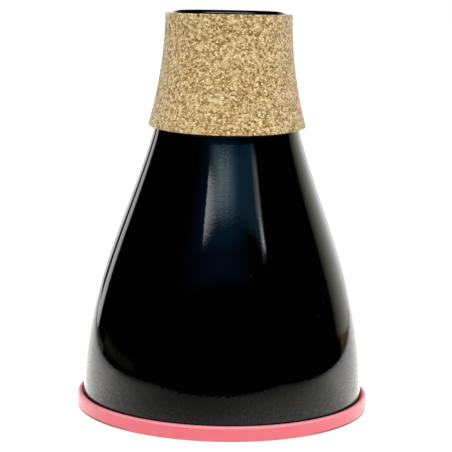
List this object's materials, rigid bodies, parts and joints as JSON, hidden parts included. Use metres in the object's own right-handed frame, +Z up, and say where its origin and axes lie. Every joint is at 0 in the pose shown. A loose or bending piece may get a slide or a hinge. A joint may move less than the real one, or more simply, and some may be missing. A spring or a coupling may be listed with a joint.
{
  "type": "trumpet practice mute",
  "caption": "Flared gloss black practice mute with a granulated cork collar round its open neck and a pink rubber bumper round its wide closed base.",
  "frame": {"origin": "centre of the bumper's flat underside, which the mute stands on", "axes": "+Z up along the mute's own axis, from the wide base to the neck's mouth; +Y away from the picture's camera, where the cork's seam is"},
  "size_m": [0.102, 0.102, 0.138],
  "materials": {
    "shell_gloss_black": "gloss",
    "granulated_cork": "matte",
    "bumper_pink": "satin",
    "plate_black": "satin",
    "tube_black": "satin",
    "grommet_black": "matte",
    "foam_charcoal": "matte"
  },
  "bodies": {
    "root": {"body_shell": "shell_gloss_black", "cork_collar": "granulated_cork", "rim_bumper": "bumper_pink", "base_plate": "plate_black", "vent_tube": "tube_black", "vent_grommet": "grommet_black", "base_foam": "foam_charcoal", "wall_foam": "foam_charcoal"}
  },
  "joints": []
}
